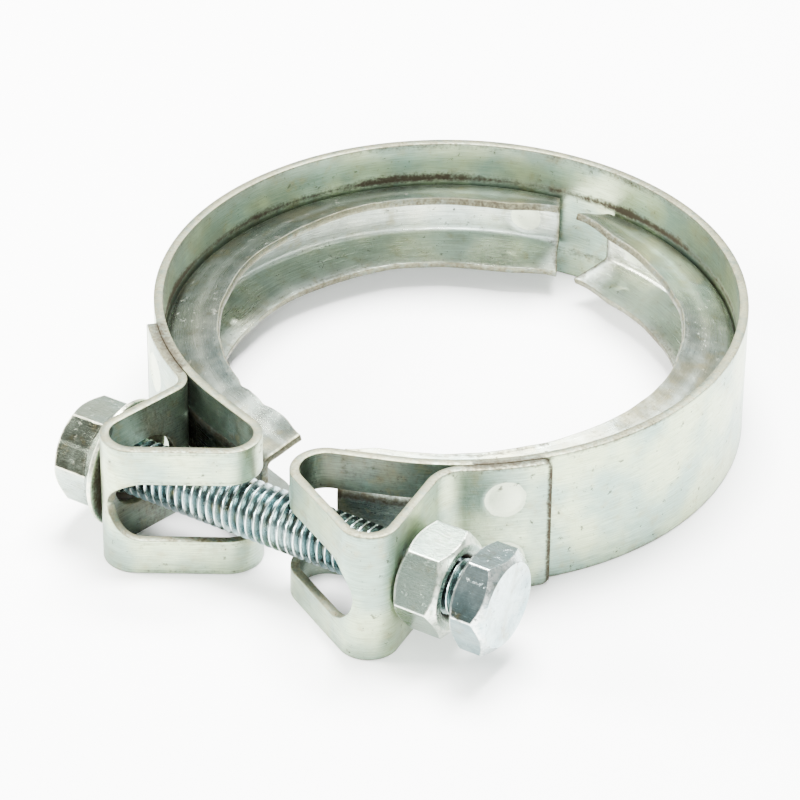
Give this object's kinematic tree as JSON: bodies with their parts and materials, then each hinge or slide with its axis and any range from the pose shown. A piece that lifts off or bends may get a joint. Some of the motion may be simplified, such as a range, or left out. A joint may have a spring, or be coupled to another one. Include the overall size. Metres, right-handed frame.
{
  "type": "v-band clamp",
  "caption": "V-band clamp: a round steel strip with two V retainers inside, closed by a cross bolt through two folded lugs.",
  "frame": {"origin": "centre of the ring, at the middle of the band's width", "axes": "+Z along the ring's axis, -Y towards the lugs and their gap, +X towards the bolt's head"},
  "size_m": [0.083, 0.0978, 0.02],
  "materials": {
    "plated_strip": "zinc plated, satin",
    "plated_channel": "zinc plated, satin, worn edges",
    "plated_bolt": "zinc plated, bright",
    "plated_lock_nut": "zinc plated, smooth",
    "plated_flange_nut": "zinc plated, scratched"
  },
  "bodies": {
    "right_half": {"band_right": "plated_strip", "retainer_right": "plated_channel"},
    "left_half": {"band_left": "plated_strip", "retainer_left": "plated_channel"},
    "bolt": {"clamp_bolt": "plated_bolt"},
    "lock_nut": {"lock_nut": "plated_lock_nut"},
    "flange_nut": {"flange_nut": "plated_flange_nut"}
  },
  "joints": [
    {"name": "bolt_turn", "type": "hinge", "parent": "right_half", "child": "bolt", "pos_m": [0, -0.0464, 0], "axis": [-1, 0, 0], "range_deg": [-1080, 1080]},
    {"name": "band_flex", "type": "hinge", "parent": "right_half", "child": "left_half", "pos_m": [0, 0.04083, 0], "axis": [0, 0, 1], "range_deg": [-2.4, 2.4]},
    {"name": "nut_travel", "type": "slide", "parent": "right_half", "child": "flange_nut", "axis": [1, 0, 0], "range_m": [-0.0038, 0.0038]},
    {"name": "lock_nut_back_off", "type": "slide", "parent": "bolt", "child": "lock_nut", "axis": [1, 0, 0], "range_m": [0, 0.0016]}
  ],
  "couplings": [
    {"joint": "band_flex", "follows": "bolt_turn", "ratio": 0.0021514},
    {"joint": "nut_travel", "follows": "bolt_turn", "m_per_rad": 0.00019894}
  ]
}
